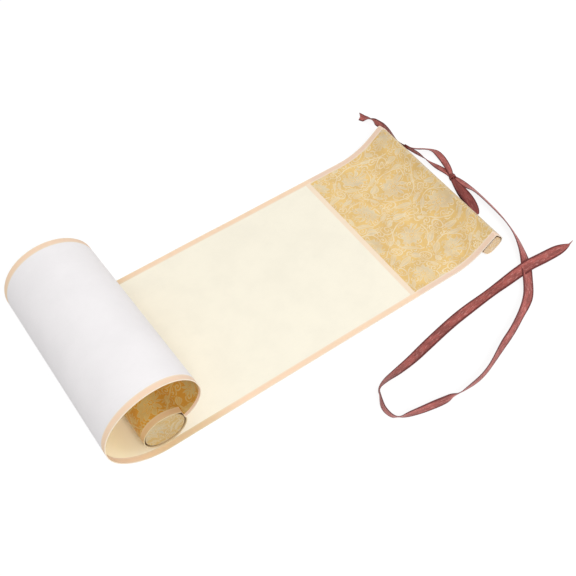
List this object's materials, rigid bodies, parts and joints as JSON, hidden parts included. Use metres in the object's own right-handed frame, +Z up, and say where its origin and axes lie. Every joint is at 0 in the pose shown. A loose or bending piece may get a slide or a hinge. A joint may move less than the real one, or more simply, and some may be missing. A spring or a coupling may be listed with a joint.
{
  "type": "paper scroll",
  "caption": "Small handscroll, partly unrolled: cream writing panel between patterned brocade ends, open curl round the roller, head stave and tied satin ribbon.",
  "frame": {"origin": "on the table at mid-width, under the seam between the head brocade and its divider", "axes": "+X along the sheet towards the stave at its head, +Y across the width, +Z up"},
  "size_m": [0.351, 0.2393, 0.0711],
  "materials": {
    "lining": "matt white lining paper",
    "writing_paper": "matt cream writing paper",
    "brocade": "woven gold brocade with pale scrolling flowers",
    "edging": "matt peach edging paper",
    "wood": "bare softwood",
    "ribbon": "woven satin ribbon"
  },
  "bodies": {
    "root": {"lining_paper": "lining", "writing_panel": "writing_paper", "head_brocade": "brocade", "tail_brocade": "brocade", "head_divider": "edging", "tail_divider": "edging", "near_edge_tape": "edging", "far_edge_tape": "edging", "near_sleeve_tape": "edging", "far_sleeve_tape": "edging", "stave": "wood", "near_stave_cover": "brocade", "far_stave_cover": "brocade", "roller": "wood", "near_roller_cover": "brocade", "far_roller_cover": "brocade", "ribbon_hitch": "ribbon", "ribbon_tail": "ribbon", "ribbon_upper_strand": "ribbon", "ribbon_lower_strand": "ribbon", "ribbon_knot": "ribbon", "ribbon_bow_loop": "ribbon", "ribbon_long_run": "ribbon", "ribbon_free_end": "ribbon"}
  },
  "joints": []
}
